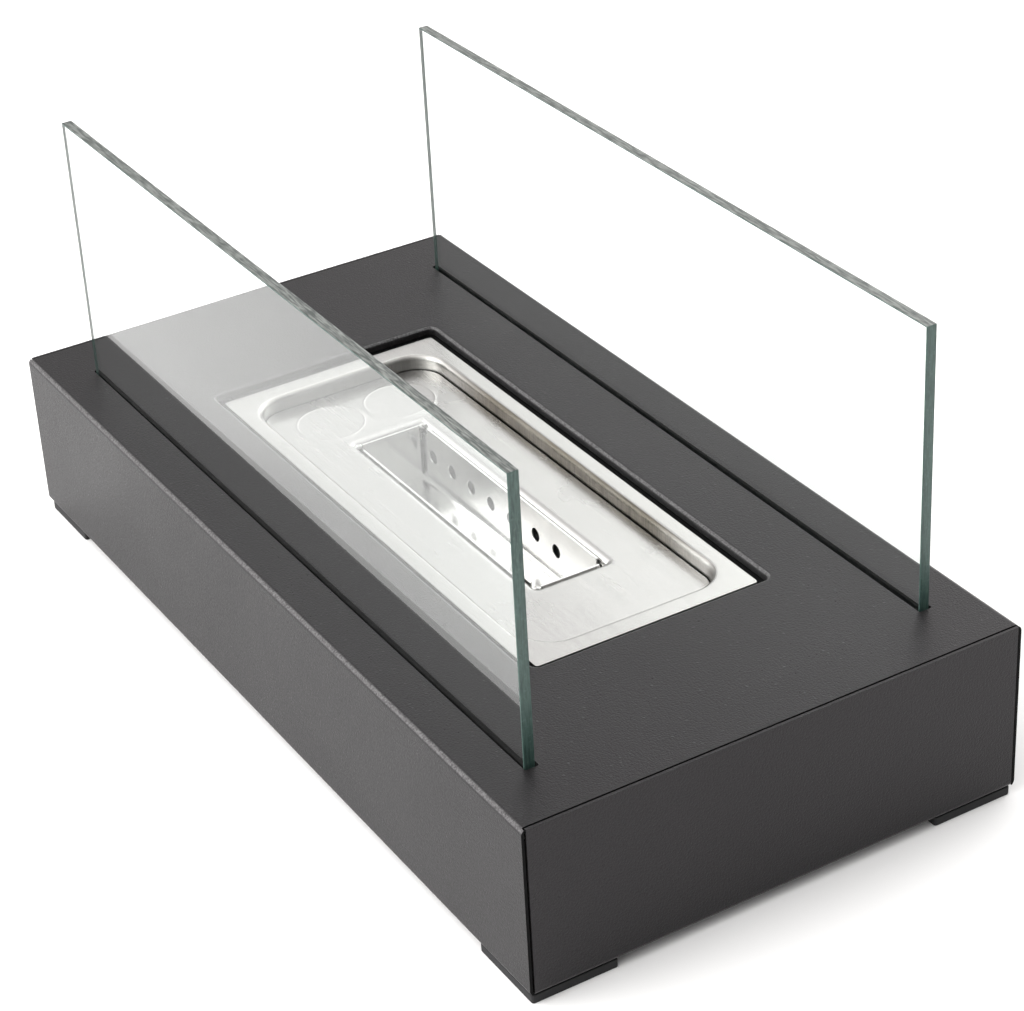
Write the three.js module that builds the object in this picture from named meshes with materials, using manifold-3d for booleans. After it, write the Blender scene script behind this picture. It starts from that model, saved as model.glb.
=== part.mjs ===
// Table-top bioethanol fireplace: a folded sheet housing with a hung fuel tank between two glass panels.
// Millimetres, +Z up. Origin: centre of the footprint, on the surface the feet stand on.
// X runs along the length, -Y is the front.
import * as THREE from 'three';
import { mergeVertices } from 'three/addons/utils/BufferGeometryUtils.js';
import Module from 'manifold-3d';

const wasm = await Module();
wasm.setup();

// Housing
const bodyLength = 350;
const bodyWidth = 180;
const bodyHeight = 60.5; // lower edge to deck, without the feet
const shellSheet = 1.0;
const shellBend = 1.5; // bend radius on the sheet's middle line
const returnWidth = 16; // turned-in lower edges
const capSideGap = 0.5; // end cap to the long skirts
const capDeckGap = 1.0; // open seam between deck and end cap
const capTopDrop = 0.15;
const skirtRecess = 0.3; // long skirts stop this far behind the end cap's face
const footSize = 30;
const footHeight = 3.5;
const footInset = 1;
const footArris = 0.4;
const bracketLeg = 13;
const bracketHeight = 46;
const bracketDrop = 4; // below the deck sheet

// Glass panels and the slots they stand in
const glassEndMargin = 25; // housing end to the panel's edge
const glassHeight = 120;
const glassThickness = 3.8;
const glassArris = 0.4;
const glassSetback = 16.3; // housing side to the panel's outer face
const glassGrip = 21.5; // depth of panel below the deck
const slotEndGap = 1.0;
const slotOuterGap = 0.3;
const slotInnerGap = 0.7;

// Channels that hold the panels under the deck
const channelSheet = 1.0;
const channelBend = 0.8;
const channelFlange = 10;
const channelOverhang = 4; // past each end of the slot
const padLength = 40;
const padHeight = 2;
const padSideGap = 0.1; // to the start of the channel's bend
const padInset = 50; // panel's edge to the pad's middle
const studRadius = 2;
const studLength = 5.6;
const studHoleGap = 0.3;
const studSetback = 6; // slot edge to the stud's centre
const studInset = 31; // slot end to the stud's centre
const nutWidth = 7;
const nutHeight = 3.2;

// Burner opening in the deck, and the frame under it
const cutoutLength = 215;
const cutoutWidth = 88;
const cutoutCorner = 2.5;
const cutoutBend = 1.0; // on the sheet's middle line
const cutoutLip = 3.1; // deck to the lip's lower edge
const seatSheet = 1.0;
const seatBend = 0.8;
const seatChannelGap = 0.6; // flange edge to the glass channel's
const seatLipGap = 0.6;
const seatTankGap = 1.3;
const seatJointGap = 0.3; // between the rails' ends

// Fuel tank
const rimLength = 208.8;
const rimWidth = 83;
const rimCorner = 1.2;
const rimDrop = 2.5; // deck to the top of the rim
const tankSheet = 1.0;
const recessLength = 192.4;
const recessWidth = 69.6;
const recessCorner = 11.5;
const recessDepth = 5.5; // rim to the cover plate's top
const recessBend = 1.5;
const tankLedge = 3;
const tankLedgeBend = 0.9;
const tankDepth = 35.5; // rim to the tank floor
const tankFloorBend = 5;

// Cover plate
const coverSheet = 1.0;
const coverGap = 0.6;
const openingLength = 117.2;
const openingWidth = 26.8;
const openingCorner = 0.6;
const openingLip = 3.0; // top of the plate to the lip's lower edge
const openingBend = 2.1;
const ringRadius = 12.8;
const ringSpacing = 26.8;
const ringHeight = 0.35;
const ringLineWidth = 1.4;
const ringSlope = 0.35; // sloping side of the line

// Flame trough and its hangers
const troughSheet = 0.8;
const troughBend = 1.6;
const troughEndGap = 0.4; // lip face to the outside of the end wall
const troughSideGap = 0.3; // lip face to the outside of the long wall
const troughDrop = 0.6; // top of the plate to the walls' upper edges
const troughDepth = 21; // top of the plate to the trough floor
const holeRadius = 2.5;
const holePitch = 13.2;
const holesPerWall = 7;
const holeEndMargin = 6.9; // inside of the left end wall to the first hole's centre
const holeDrop = 10.7; // top of the plate to the hole centres
const hangerWidth = 14;
const hangerSheet = 0.8;
const hangerReach = 8;
const hangerLipGap = 0.6;
const hangerFoot = 6;

// Ceramic wool
const woolGap = 0.6;
const woolLift = 0.3; // lies this far above the tank floor
const woolHeight = 20;
const woolEdge = 3;

// Levels and half sizes worked out from the sizes above
const deckTop = footHeight + bodyHeight;
const deckUnder = deckTop - shellSheet;
const halfLength = bodyLength / 2;
const halfWidth = bodyWidth / 2;
const glassLength = bodyLength - 2 * glassEndMargin;
const rimTop = deckTop - rimDrop;
const rimUnder = rimTop - tankSheet;
const coverTop = rimTop - recessDepth;
const coverUnder = coverTop - coverSheet;
const tankFloor = rimTop - tankDepth;
const halfRecess = [recessLength / 2, recessWidth / 2];
const halfOpening = [openingLength / 2, openingWidth / 2];
const glassOuterY = halfWidth - glassSetback;
const glassInnerY = glassOuterY - glassThickness;
const slotOuterY = glassOuterY + slotOuterGap;
const slotInnerY = glassInnerY - slotInnerGap;
const slotHalfLength = glassLength / 2 + slotEndGap;
const glassBottom = deckTop - glassGrip;
const deckHalfLength = halfLength - shellSheet - capDeckGap;
const halfCutout = [cutoutLength / 2, cutoutWidth / 2];
const halfTank = halfRecess.map((half) => half + tankSheet);
const channelEdge = slotInnerY - channelSheet / 2 - channelFlange;
const seatReach = channelEdge - seatChannelGap - halfCutout[1];

const arcSteps = 4; // facets in a quarter turn
const smallArcSteps = 2; // facets in a small rounded corner
const roundSides = 12;
const cutterLength = 200; // passes right through the object
const sheetCutter = 4; // passes through one sheet

const finishes = {
  powderCoat: { color: 0x4d4b4c, roughness: 0.55, metalness: 0 },
  blackSteel: { color: 0x1c1c1e, roughness: 0.6, metalness: 0.2 },
  stainless: { color: 0xc9c8c5, roughness: 0.25, metalness: 1 },
  zincSteel: { color: 0x9fa3a6, roughness: 0.35, metalness: 1 },
  glass: { color: 0x9fc4b8, roughness: 0.03, metalness: 0, transparent: true, opacity: 0.35 },
  rubber: { color: 0x151515, roughness: 0.8, metalness: 0 },
  silicone: { color: 0xb9bcbc, roughness: 0.6, metalness: 0 },
  wool: { color: 0xe8e5dc, roughness: 1, metalness: 0 },
};

// Section planes: each turns a shape drawn in (a, b) so that it is extruded along the named axis.
const alongX = new THREE.Matrix4().makeBasis(
  new THREE.Vector3(0, 1, 0), new THREE.Vector3(0, 0, 1), new THREE.Vector3(1, 0, 0));
const alongY = new THREE.Matrix4().makeBasis(
  new THREE.Vector3(1, 0, 0), new THREE.Vector3(0, 0, 1), new THREE.Vector3(0, -1, 0));
const alongZ = new THREE.Matrix4();

function toSolid(geometry) {
  const bare = geometry.clone();
  bare.deleteAttribute('normal');
  bare.deleteAttribute('uv');
  const merged = mergeVertices(bare, 1e-4);
  return new wasm.Manifold(new wasm.Mesh({
    numProp: 3,
    vertProperties: new Float32Array(merged.attributes.position.array),
    triVerts: new Uint32Array(merged.index.array),
  }));
}

function toGeometry(solid) {
  const mesh = solid.getMesh();
  const geometry = new THREE.BufferGeometry();
  geometry.setAttribute('position', new THREE.BufferAttribute(mesh.vertProperties, 3));
  geometry.setIndex(new THREE.BufferAttribute(mesh.triVerts, 1));
  geometry.computeVertexNormals();
  return geometry;
}

function joined(solids) {
  return solids.reduce((whole, next) => whole.add(next));
}

function cut(solid, cutters) {
  return cutters.reduce((left, cutter) => left.subtract(cutter), solid);
}

function at(geometry, x, y, z) {
  return geometry.translate(x, y, z);
}

// A straight extrusion of a section, centred on its axis.
function bar(section, length, plane) {
  const geometry = new THREE.ExtrudeGeometry(section, {
    depth: length,
    bevelEnabled: false,
    curveSegments: arcSteps,
  });
  return at(geometry, 0, 0, -length / 2).applyMatrix4(plane);
}

function block(sizeX, sizeY, sizeZ, x, y, z) {
  return at(new THREE.BoxGeometry(sizeX, sizeY, sizeZ), x, y, z);
}

function roundedRect(halfX, halfY, radius) {
  const shape = new THREE.Shape();
  shape.absarc(halfX - radius, halfY - radius, radius, 0, Math.PI / 2);
  shape.absarc(radius - halfX, halfY - radius, radius, Math.PI / 2, Math.PI);
  shape.absarc(radius - halfX, radius - halfY, radius, Math.PI, 1.5 * Math.PI);
  shape.absarc(halfX - radius, radius - halfY, radius, 1.5 * Math.PI, 2 * Math.PI);
  shape.closePath();
  return shape;
}

// A flat plate between two levels, with an optional hole.
function plate(outline, low, high, hole) {
  if (hole) outline.holes.push(hole);
  return at(bar(outline, high - low, alongZ), 0, 0, (low + high) / 2);
}

// A block with all its edges cut back by an arris.
function arrisBlock(sizeA, sizeB, depth, corner, arris, plane) {
  const outline = roundedRect(sizeA / 2 - arris, sizeB / 2 - arris, corner);
  const geometry = new THREE.ExtrudeGeometry(outline, {
    depth: depth - 2 * arris,
    bevelSize: arris,
    bevelThickness: arris,
    bevelSegments: 1,
    curveSegments: smallArcSteps,
  });
  return at(geometry, 0, 0, arris - depth / 2).applyMatrix4(plane);
}

// Both faces of a folded sheet: its middle line runs through the corners, each [a, b, bend radius].
function foldedFaces(corners, sheet, bend) {
  const left = [];
  const right = [];
  const put = (point, normal) => {
    left.push(point.clone().addScaledVector(normal, sheet / 2));
    right.unshift(point.clone().addScaledVector(normal, -sheet / 2));
  };
  const points = corners.map(([a, b]) => new THREE.Vector2(a, b));
  const pivot = new THREE.Vector2();
  const normalOf = (from, to) => to.clone().sub(from).normalize().rotateAround(pivot, Math.PI / 2);
  put(points[0], normalOf(points[0], points[1]));
  for (let i = 1; i < points.length - 1; i += 1) {
    const before = normalOf(points[i - 1], points[i]);
    const after = normalOf(points[i], points[i + 1]);
    const radius = corners[i][2] ?? bend;
    const turn = Math.sign(before.cross(after));
    const half = Math.acos(THREE.MathUtils.clamp(before.dot(after), -1, 1)) / 2;
    const centre = points[i].clone().addScaledVector(
      before.clone().add(after).normalize(), turn * radius / Math.cos(half));
    for (let step = 0; step <= arcSteps; step += 1) {
      const normal = before.clone().rotateAround(pivot, turn * 2 * half * step / arcSteps);
      put(centre.clone().addScaledVector(normal, -turn * radius), normal);
    }
  }
  put(points.at(-1), normalOf(points.at(-2), points.at(-1)));
  return [left, right];
}

// The folded sheet swept round a rounded rectangle: [outward offset, level] at each point.
function foldedFrame(corners, sheet, bend, halfSize, cornerRadius) {
  const outline = foldedFaces(corners, sheet, bend).flat();
  if (THREE.ShapeUtils.isClockWise(outline)) outline.reverse();
  const positions = [];
  for (const { x: offset, y: level } of outline) {
    for (let quarter = 0; quarter < 4; quarter += 1) {
      const signX = quarter === 0 || quarter === 3 ? 1 : -1;
      const signY = quarter < 2 ? 1 : -1;
      for (let step = 0; step <= arcSteps; step += 1) {
        const angle = (quarter + step / arcSteps) * Math.PI / 2;
        const radius = cornerRadius + offset;
        positions.push(
          signX * (halfSize[0] - cornerRadius) + radius * Math.cos(angle),
          signY * (halfSize[1] - cornerRadius) + radius * Math.sin(angle),
          level);
      }
    }
  }
  const around = 4 * (arcSteps + 1);
  const faces = [];
  for (let i = 0; i < outline.length; i += 1) {
    const next = (i + 1) % outline.length;
    for (let j = 0; j < around; j += 1) {
      const side = (j + 1) % around;
      faces.push(i * around + j, i * around + side, next * around + side);
      faces.push(i * around + j, next * around + side, next * around + j);
    }
  }
  const geometry = new THREE.BufferGeometry();
  geometry.setAttribute('position', new THREE.Float32BufferAttribute(positions, 3));
  geometry.setIndex(faces);
  return geometry;
}

function foldedBar(corners, sheet, bend, length, plane) {
  return bar(new THREE.Shape(foldedFaces(corners, sheet, bend).flat()), length, plane);
}

const fireplace = new THREE.Group();

function add(name, shape, finish) {
  const geometry = shape.isBufferGeometry ? shape : toGeometry(shape);
  const mesh = new THREE.Mesh(geometry, new THREE.MeshStandardMaterial(finishes[finish]));
  mesh.name = name;
  fireplace.add(mesh);
  return mesh;
}

// Deck, long skirts and their turned-in lower edges, folded from one sheet.
function housingShell() {
  const middle = shellSheet / 2;
  const skirtY = halfWidth - middle;
  const low = footHeight + middle;
  const folded = toSolid(foldedBar([
    [returnWidth - halfWidth, low],
    [-skirtY, low],
    [-skirtY, deckTop - middle],
    [skirtY, deckTop - middle],
    [skirtY, low],
    [halfWidth - returnWidth, low],
  ], shellSheet, shellBend, 2 * (halfLength - skirtRecess), alongX));
  const cutters = [];
  for (const side of [-1, 1]) {
    const notch = halfLength - deckHalfLength;
    const x = side * (deckHalfLength + notch / 2);
    cutters.push(toSolid(block(notch, 2 * (halfWidth - shellSheet), cutterLength, x, 0, 0)));
    const slotY = side * (slotInnerY + slotOuterY) / 2;
    const slot = block(2 * slotHalfLength, slotOuterY - slotInnerY, sheetCutter, 0, slotY, deckTop);
    cutters.push(toSolid(slot));
  }
  const lipRoom = cutoutBend + middle;
  const hole = roundedRect(halfCutout[0] + lipRoom, halfCutout[1] + lipRoom, cutoutCorner + lipRoom);
  cutters.push(toSolid(plate(hole, deckUnder - shellSheet, deckTop + shellSheet)));
  const lip = foldedFrame([
    [lipRoom + shellSheet, deckTop - middle],
    [middle, deckTop - middle],
    [middle, deckTop - cutoutLip],
  ], shellSheet, cutoutBend, halfCutout, cutoutCorner);
  return cut(folded, cutters).add(toSolid(lip));
}

// Closes one end: a plate between the skirts with a turned-in lower edge.
function endCap(side) {
  const middle = shellSheet / 2;
  const capHalf = halfWidth - shellSheet - capSideGap;
  const face = side * (halfLength - middle);
  const low = footHeight + middle;
  const high = deckTop - capTopDrop;
  const turned = toSolid(foldedBar([
    [side * (halfLength - returnWidth), low],
    [face, low],
    [face, high],
  ], shellSheet, shellBend, 2 * capHalf, alongY));
  const inner = halfWidth - returnWidth - capSideGap;
  const x = side * (deckHalfLength + capSideGap - returnWidth / 2);
  const cutters = [-1, 1].map((hand) => (
    toSolid(block(returnWidth, capHalf, sheetCutter, x, hand * (inner + capHalf / 2), low))));
  return cut(turned, cutters);
}

// Angle that joins an end cap to a long skirt inside the corner.
function cornerBracket(sideX, sideY) {
  const middle = shellSheet / 2;
  const x = sideX * (halfLength - shellSheet - middle);
  const y = sideY * (halfWidth - shellSheet - middle);
  const angle = foldedBar([
    [x - sideX * bracketLeg, y],
    [x, y],
    [x, y - sideY * bracketLeg],
  ], shellSheet, shellBend, bracketHeight, alongZ);
  return at(angle, 0, 0, deckUnder - bracketDrop - bracketHeight / 2);
}

function foot() {
  return arrisBlock(footSize, footSize, footHeight, footArris, footArris, alongZ);
}

// Z-section rail welded under the deck beside the opening; the tank's rim rests on its ledge.
function seatRail(side, halfCutout, halfTank, length, plane) {
  const middle = seatSheet / 2;
  const web = halfCutout + cutoutBend + shellSheet / 2 + seatLipGap + middle;
  const ledge = rimUnder - middle;
  return foldedBar([
    [side * (halfCutout + seatReach), deckUnder - middle],
    [side * web, deckUnder - middle],
    [side * web, ledge],
    [side * (halfTank + seatTankGap), ledge],
  ], seatSheet, seatBend, length, plane);
}

// Hat-section channel under a slot.
function glassChannel(side) {
  const middle = channelSheet / 2;
  const inner = slotInnerY - middle;
  const outer = slotOuterY + middle;
  const top = deckUnder - middle;
  const floor = glassBottom - padHeight - middle;
  const channel = toSolid(foldedBar([
    [side * channelEdge, top],
    [side * inner, top],
    [side * inner, floor],
    [side * outer, floor],
    [side * outer, top],
    [side * (outer + channelFlange), top],
  ], channelSheet, channelBend, 2 * (slotHalfLength + channelOverhang), alongX));
  const holes = studPlaces(side).map(([x, y]) => (
    toSolid(upright(studRadius + studHoleGap, sheetCutter, x, y, top))));
  return cut(channel, holes);
}

function upright(radius, length, x, y, z) {
  return at(new THREE.CylinderGeometry(radius, radius, length, roundSides).rotateX(Math.PI / 2), x, y, z);
}

function studPlaces(side) {
  const rows = [slotInnerY - studSetback, slotOuterY + studSetback];
  const studX = slotHalfLength - studInset;
  return rows.flatMap((y) => [-studX, studX].map((x) => [x, side * y]));
}

// Stud under the deck with its nut, its top on the deck sheet.
function channelFastener() {
  const corner = nutWidth / Math.sqrt(3);
  const nut = new THREE.CylinderGeometry(corner, corner, nutHeight, 6).rotateX(Math.PI / 2);
  const stud = upright(studRadius, studLength, 0, 0, -studLength / 2);
  return toSolid(stud).add(toSolid(at(nut, 0, 0, -channelSheet - nutHeight / 2)));
}

function glassPad() {
  const sideRoom = channelBend - channelSheet / 2 + padSideGap;
  return block(padLength, slotOuterY - slotInnerY - 2 * sideRoom, padHeight, 0, 0, -padHeight / 2);
}

function glassPanel() {
  return arrisBlock(glassLength, glassHeight, glassThickness, glassArris, glassArris, alongY);
}

// Deep-drawn tank: flat rim, recess for the cover plate, ledge and body.
function fuelTank() {
  const middle = tankSheet / 2;
  const ledge = coverUnder - middle;
  const floor = tankFloor - middle;
  const bodyOffset = middle - tankLedge;
  const rimOverlap = recessBend + tankSheet;
  const floorOverlap = bodyOffset - tankFloorBend - middle;
  const wall = toSolid(foldedFrame([
    [rimOverlap + tankSheet, rimTop - middle],
    [middle, rimTop - middle],
    [middle, ledge, tankLedgeBend],
    [bodyOffset, ledge, tankLedgeBend],
    [bodyOffset, floor, tankFloorBend],
    [floorOverlap - tankSheet, floor],
  ], tankSheet, recessBend, halfRecess, recessCorner));
  const rim = plate(
    roundedRect(rimLength / 2, rimWidth / 2, rimCorner),
    rimUnder,
    rimTop,
    roundedRect(halfRecess[0] + rimOverlap, halfRecess[1] + rimOverlap, recessCorner + rimOverlap));
  const base = plate(
    roundedRect(halfRecess[0] + floorOverlap, halfRecess[1] + floorOverlap, recessCorner + floorOverlap),
    tankFloor - tankSheet,
    tankFloor);
  return joined([wall, toSolid(rim), toSolid(base)]);
}

// Plate lying in the tank's recess, with a rolled-down opening and two plain raised rings.
function coverPlate() {
  const middle = coverSheet / 2;
  const lipRoom = openingBend + middle;
  const halfCover = halfRecess.map((half) => half - coverGap);
  const flat = plate(
    roundedRect(halfCover[0], halfCover[1], recessCorner - coverGap),
    coverUnder,
    coverTop,
    roundedRect(halfOpening[0] + lipRoom, halfOpening[1] + lipRoom, openingCorner + lipRoom));
  const lip = foldedFrame([
    [lipRoom + coverSheet, coverTop - middle],
    [middle, coverTop - middle],
    [middle, coverTop - openingLip],
  ], coverSheet, openingBend, halfOpening, openingCorner);
  const ringX = -(halfCover[0] + halfOpening[0]) / 2;
  const rings = [-1, 1].map((side) => toSolid(at(raisedRing(), ringX, side * ringSpacing / 2, coverTop)));
  return joined([toSolid(flat), toSolid(lip), ...rings]);
}

function raisedRing() {
  const innerRadius = ringRadius - ringLineWidth;
  const sunk = coverSheet / 2;
  const profile = [
    [innerRadius, -sunk],
    [ringRadius, -sunk],
    [ringRadius, 0],
    [ringRadius - ringSlope, ringHeight],
    [innerRadius + ringSlope, ringHeight],
    [innerRadius, 0],
    [innerRadius, -sunk],
  ].map(([r, z]) => new THREE.Vector2(r, z));
  return new THREE.LatheGeometry(profile, 2 * roundSides).rotateX(Math.PI / 2);
}

const troughOuter = [halfOpening[0] - troughEndGap, halfOpening[1] - troughSideGap];
const troughInner = troughOuter.map((half) => half - troughSheet);
const troughTop = coverTop - troughDrop;

// Perforated folded box that burns at the opening.
function flameTrough() {
  const middle = troughSheet / 2;
  const wallY = troughInner[1] + middle;
  const floor = coverTop - troughDepth - middle;
  const section = [
    [-wallY, troughTop],
    [-wallY, floor],
    [wallY, floor],
    [wallY, troughTop],
  ];
  const folded = toSolid(foldedBar(section, troughSheet, troughBend, 2 * troughOuter[0], alongX));
  const [inside] = foldedFaces(section, troughSheet, troughBend);
  const ends = [-1, 1].map((side) => {
    const wall = bar(new THREE.Shape(inside), troughSheet, alongX);
    return toSolid(at(wall, side * (troughOuter[0] - middle), 0, 0));
  });
  const holes = Array.from({ length: holesPerWall }, (_, i) => {
    const x = holeEndMargin - troughInner[0] + i * holePitch;
    const drill = new THREE.CylinderGeometry(holeRadius, holeRadius, cutterLength, roundSides);
    return toSolid(at(drill, x, 0, coverTop - holeDrop));
  });
  return cut(joined([folded, ...ends]), holes);
}

// Strip that hangs one end of the trough from the cover plate.
function troughHanger(side) {
  const middle = hangerSheet / 2;
  const top = coverUnder - middle;
  const riser = halfOpening[0] + openingBend + coverSheet / 2 + hangerLipGap + middle;
  const inner = troughOuter[0] + middle;
  const foot = coverTop - openingLip - hangerLipGap - middle;
  return foldedBar([
    [side * (riser + hangerReach), top],
    [side * riser, top, middle],
    [side * riser, foot, middle],
    [side * inner, foot, middle],
    [side * inner, foot - hangerFoot],
  ], hangerSheet, middle, hangerWidth, alongY);
}

function woolPad(side) {
  const innerY = troughOuter[1] + woolGap;
  const outerY = halfRecess[1] - tankLedge - woolGap;
  const halfX = halfRecess[0] - tankLedge - woolGap;
  const corner = recessCorner - tankLedge - woolGap - woolEdge;
  const pad = arrisBlock(2 * halfX, outerY - innerY, woolHeight, corner, woolEdge, alongZ);
  return at(pad, 0, side * (innerY + outerY) / 2, tankFloor + woolLift + woolHeight / 2);
}

add('housing_shell', housingShell(), 'powderCoat');
for (const [end, side] of [['left', -1], ['right', 1]]) {
  const sideRail = 2 * (halfTank[1] + seatTankGap - seatJointGap);
  add(`seat_rail_${end}`, seatRail(side, halfCutout[0], halfTank[0], sideRail, alongY), 'blackSteel');
  add(`end_cap_${end}`, endCap(side), 'powderCoat');
  add(`trough_hanger_${end}`, troughHanger(side), 'stainless');
  for (const [row, sideY] of [['front', -1], ['rear', 1]]) {
    add(`corner_bracket_${row}_${end}`, cornerBracket(side, sideY), 'blackSteel');
    add(`foot_${row}_${end}`, foot(), 'rubber').position.set(
      side * (halfLength - footInset - footSize / 2),
      sideY * (halfWidth - footInset - footSize / 2),
      footHeight / 2);
  }
}
for (const [row, side] of [['front', -1], ['rear', 1]]) {
  const longRail = 2 * (halfCutout[0] + seatReach);
  add(`seat_rail_${row}`, seatRail(side, halfCutout[1], halfTank[1], longRail, alongX), 'blackSteel');
  add(`glass_channel_${row}`, glassChannel(side), 'blackSteel');
  studPlaces(side).forEach(([x, y], i) => {
    add(`channel_stud_${row}_${i + 1}`, channelFastener(), 'zincSteel').position.set(x, y, deckUnder);
  });
  for (const [end, sideX] of [['left', -1], ['right', 1]]) {
    add(`glass_pad_${row}_${end}`, glassPad(), 'silicone').position.set(
      sideX * (glassLength / 2 - padInset),
      side * (slotOuterY + slotInnerY) / 2,
      glassBottom);
  }
  add(`glass_panel_${row}`, glassPanel(), 'glass').position.set(
    0,
    side * (glassOuterY + glassInnerY) / 2,
    glassBottom + glassHeight / 2);
  add(`wool_${row}`, woolPad(side), 'wool');
}
add('fuel_tank', fuelTank(), 'stainless');
add('cover_plate', coverPlate(), 'stainless');
add('flame_trough', flameTrough(), 'stainless');

export default fireplace;
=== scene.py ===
import math

import bmesh
import bpy
from mathutils import Matrix, Vector, noise


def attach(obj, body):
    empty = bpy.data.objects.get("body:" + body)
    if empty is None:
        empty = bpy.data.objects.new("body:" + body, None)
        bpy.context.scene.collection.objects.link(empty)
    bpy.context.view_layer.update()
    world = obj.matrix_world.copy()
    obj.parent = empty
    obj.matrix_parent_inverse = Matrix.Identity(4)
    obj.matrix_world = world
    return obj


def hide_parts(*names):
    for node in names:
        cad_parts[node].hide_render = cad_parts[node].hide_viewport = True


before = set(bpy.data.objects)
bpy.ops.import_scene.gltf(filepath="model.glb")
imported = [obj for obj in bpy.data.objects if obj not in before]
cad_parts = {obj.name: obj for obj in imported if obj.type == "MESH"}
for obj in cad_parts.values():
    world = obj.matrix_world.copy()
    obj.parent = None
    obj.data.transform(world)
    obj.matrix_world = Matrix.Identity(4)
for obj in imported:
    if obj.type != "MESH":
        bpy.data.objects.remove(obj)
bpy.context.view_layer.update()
scene = bpy.context.scene
mm = 0.001
rightAngle = math.radians(90)
rows = (("front", -1), ("rear", 1))
ends = (("left", -1), ("right", 1))
corners = [(f"{row}_{end}", signX, signY) for row, signY in rows for end, signX in ends]

# Camera at the photograph's angle

viewpoint = {
    "place": (0.73402, -0.40532, 0.55213),
    "azimuth": 60.34,
    "elevation": 30.77,
    "roll": -3.27,
    "lens": 100.91,
    "sensor": 36,
    "clip": (0.01, 50),
}
cameraData = bpy.data.cameras.new("camera")
cameraData.lens = viewpoint["lens"]
cameraData.sensor_width = viewpoint["sensor"]
cameraData.clip_start, cameraData.clip_end = viewpoint["clip"]
camera = bpy.data.objects.new("camera", cameraData)
camera.matrix_world = (
    Matrix.Translation(viewpoint["place"])
    @ Matrix.Rotation(math.radians(viewpoint["azimuth"]), 4, "Z")
    @ Matrix.Rotation(math.radians(90 - viewpoint["elevation"]), 4, "X")
    @ Matrix.Rotation(math.radians(viewpoint["roll"]), 4, "Z")
)
scene.collection.objects.link(camera)
scene.camera = camera
scene.view_settings.view_transform = "Standard"
scene.view_settings.look = "None"


# Shader helpers

def feed(tree, sockets, inputs):
    # each socket gets a link or a fixed value
    for name, value in inputs.items():
        if isinstance(value, bpy.types.NodeSocket):
            tree.links.new(value, sockets[name])
        else:
            sockets[name].default_value = value


def placeNode(tree, kind, inputs, **settings):
    node = tree.nodes.new("ShaderNode" + kind)
    for name, value in settings.items():
        setattr(node, name, value)
    feed(tree, node.inputs, inputs)
    return node


def calculate(tree, operation, first, second=0.0, third=0.0):
    node = placeNode(tree, "Math", {0: first, 1: second, 2: third}, operation=operation)
    return node.outputs[0]


def multiply(tree, first, second):
    return calculate(tree, "MULTIPLY", first, second)


def scaleAdd(tree, value, factor, offset):
    return calculate(tree, "MULTIPLY_ADD", value, factor, offset)


def remap(tree, value, span, target=(0.0, 1.0), smooth=False):
    node = placeNode(tree, "MapRange", {
        "Value": value,
        "From Min": span[0],
        "From Max": span[1],
        "To Min": target[0],
        "To Max": target[1],
    }, interpolation_type="SMOOTHSTEP" if smooth else "LINEAR")
    return node.outputs["Result"]


def blendColours(tree, factor, first, second):
    node = placeNode(tree, "Mix", {0: factor, 6: first, 7: second}, data_type="RGBA")
    return node.outputs[2]


def tinted(colour, factor=1.0):
    return tuple(min(1.0, channel * factor) for channel in colour) + (1.0,)


def bumpFrom(tree, height, distance, below=None):
    inputs = {"Height": height, "Distance": distance}
    if below:
        inputs["Normal"] = below
    return placeNode(tree, "Bump", inputs).outputs["Normal"]


def objectPlace(tree):
    return placeNode(tree, "TexCoord", {}).outputs["Object"]


def lookingUp(tree):
    # how far a face looks up: 1 when level, 0 when upright
    facing = placeNode(tree, "NewGeometry", {}).outputs["Normal"]
    return placeNode(tree, "SeparateXYZ", {"Vector": facing}).outputs["Z"]


def startGroup(name, inputs, outputs):
    group = bpy.data.node_groups.new(name, "ShaderNodeTree")
    for label, value in inputs.items():
        socket = group.interface.new_socket(label, in_out="INPUT", socket_type="NodeSocketFloat")
        socket.default_value = value
    for label in outputs:
        group.interface.new_socket(label, in_out="OUTPUT", socket_type="NodeSocketFloat")
    given = group.nodes.new("NodeGroupInput")
    wanted = group.nodes.new("NodeGroupOutput")
    return group, given.outputs, wanted.inputs


def placeGroup(tree, group, **values):
    node = tree.nodes.new("ShaderNodeGroup")
    node.node_tree = group
    for name, value in values.items():
        node.inputs[name].default_value = value
    return node.outputs


def startMaterial(name):
    material = bpy.data.materials.new(name)
    material.use_nodes = True
    tree = material.node_tree
    return material, tree, tree.nodes["Principled BSDF"].inputs


# Shared effects

grainEffect = {
    "inputs": {"grainSize": 0.0007, "speckSize": 0.0016, "contrast": 0.3},
    "noise": {"Detail": 2.0, "Roughness": 0.65},
    "speckEdge": (0.12, 0.26),
    "speckChoice": (0.72, 0.95),
    "speckHeight": 0.35,
}
brushEffect = {
    "inputs": {"lineWidth": 0.0005, "lineLength": 0.03},
    "levelSpan": (0.55, 0.75),
    "streak": {"Scale": 1.0, "Detail": 3.0, "Roughness": 0.7},
    "broad": {"Scale": 0.16, "Detail": 2.0},
    "streakShare": 0.6,
    "toneSpan": (0.3, 0.7),
}
handlingEffect = {
    "inputs": {"patchSize": 0.03},
    "noise": {"Detail": 4.0, "Roughness": 0.55, "Distortion": 0.6},
    "patchSpan": (0.4, 0.72),
}


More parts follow.
